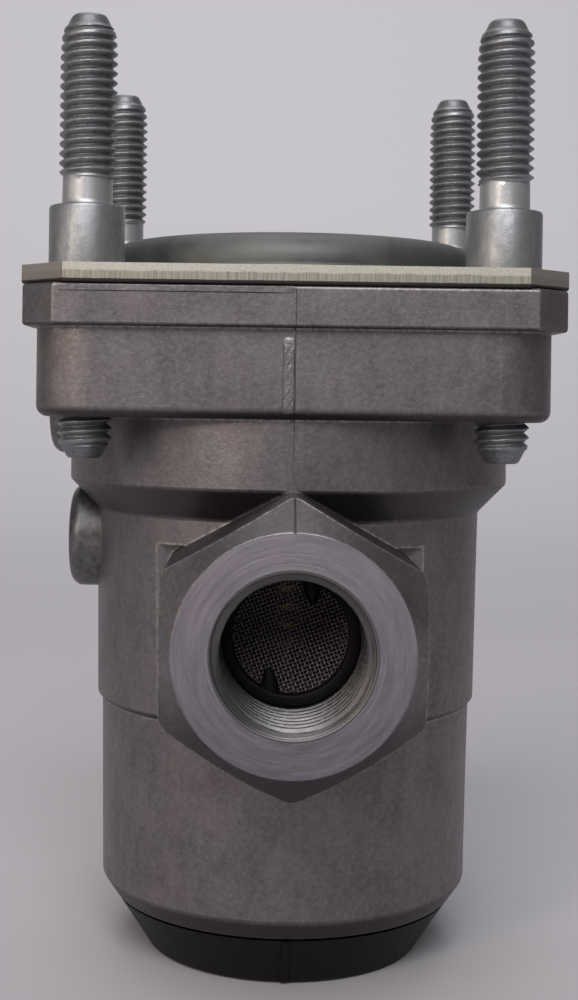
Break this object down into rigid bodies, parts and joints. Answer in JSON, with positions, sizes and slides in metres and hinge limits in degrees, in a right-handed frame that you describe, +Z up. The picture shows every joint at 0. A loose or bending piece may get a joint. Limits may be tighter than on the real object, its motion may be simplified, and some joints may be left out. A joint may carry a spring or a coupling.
{
  "type": "pressure reducing valve",
  "caption": "Air-brake pressure reducing valve: die-cast body with two hexagon threaded ports, square flange, clamp plate, collar studs, spring cap and black exhaust cap.",
  "frame": {"origin": "on the valve axis at the base of the exhaust cap, the lowest point of the part", "axes": "+Z up along the valve axis towards the studs, -Y out of the supply port with the strainer, +Y out of the delivery port, -X towards the two screw plugs"},
  "size_m": [0.0564, 0.0746, 0.103],
  "materials": {
    "cast_housing": "as-cast, rough, grey-brown",
    "plated_plate": "stamped steel, pale yellow-grey plating",
    "pressed_cap": "deep-drawn steel, zinc plated, satin",
    "zinc_steel": "zinc plated, blue-grey",
    "machined_aluminium": "turned",
    "seal_rubber": "moulded rubber",
    "slide_plastic": "plain sliding plastic",
    "spring_steel": "oiled spring wire",
    "brass": "turned",
    "black_plastic": "moulded, fine grain",
    "strainer_wire": "woven wire cloth"
  },
  "bodies": {
    "valve_case": {"housing": "cast_housing", "clamp_plate": "plated_plate", "spring_cap": "pressed_cap", "spring_seat": "zinc_steel", "stud_front_left": "zinc_steel", "stud_front_right": "zinc_steel", "stud_back_left": "zinc_steel", "stud_back_right": "zinc_steel", "regulating_spring": "spring_steel", "return_spring": "spring_steel", "valve_guide": "machined_aluminium", "guide_seal_ring": "seal_rubber", "tube_seal_ring": "seal_rubber", "retaining_ring": "spring_steel", "exhaust_cap": "black_plastic", "exhaust_flap": "seal_rubber", "strainer_ring": "black_plastic", "strainer_mesh": "strainer_wire", "side_plug_lower": "zinc_steel", "plug_washer_lower": "machined_aluminium", "side_plug_upper": "zinc_steel", "plug_washer_upper": "machined_aluminium"},
    "piston_group": {"piston": "machined_aluminium", "piston_seal_ring": "seal_rubber", "piston_guide_ring": "slide_plastic"},
    "inlet_valve": {"valve_body": "brass", "valve_rubber": "seal_rubber"}
  },
  "joints": [
    {"name": "piston_slide", "type": "slide", "parent": "valve_case", "child": "piston_group", "axis": [0, 0, 1], "range_m": [0, 0.0015], "stiffness_N_per_m": 2000, "springref_m": -0.001, "deforming": ["regulating_spring"]},
    {"name": "inlet_valve_slide", "type": "slide", "parent": "valve_case", "child": "inlet_valve", "axis": [0, 0, 1], "range_m": [0, 0.0015], "deforming": ["return_spring"]}
  ],
  "couplings": [
    {"joint": "inlet_valve_slide", "follows": "piston_slide", "ratio": 1}
  ]
}
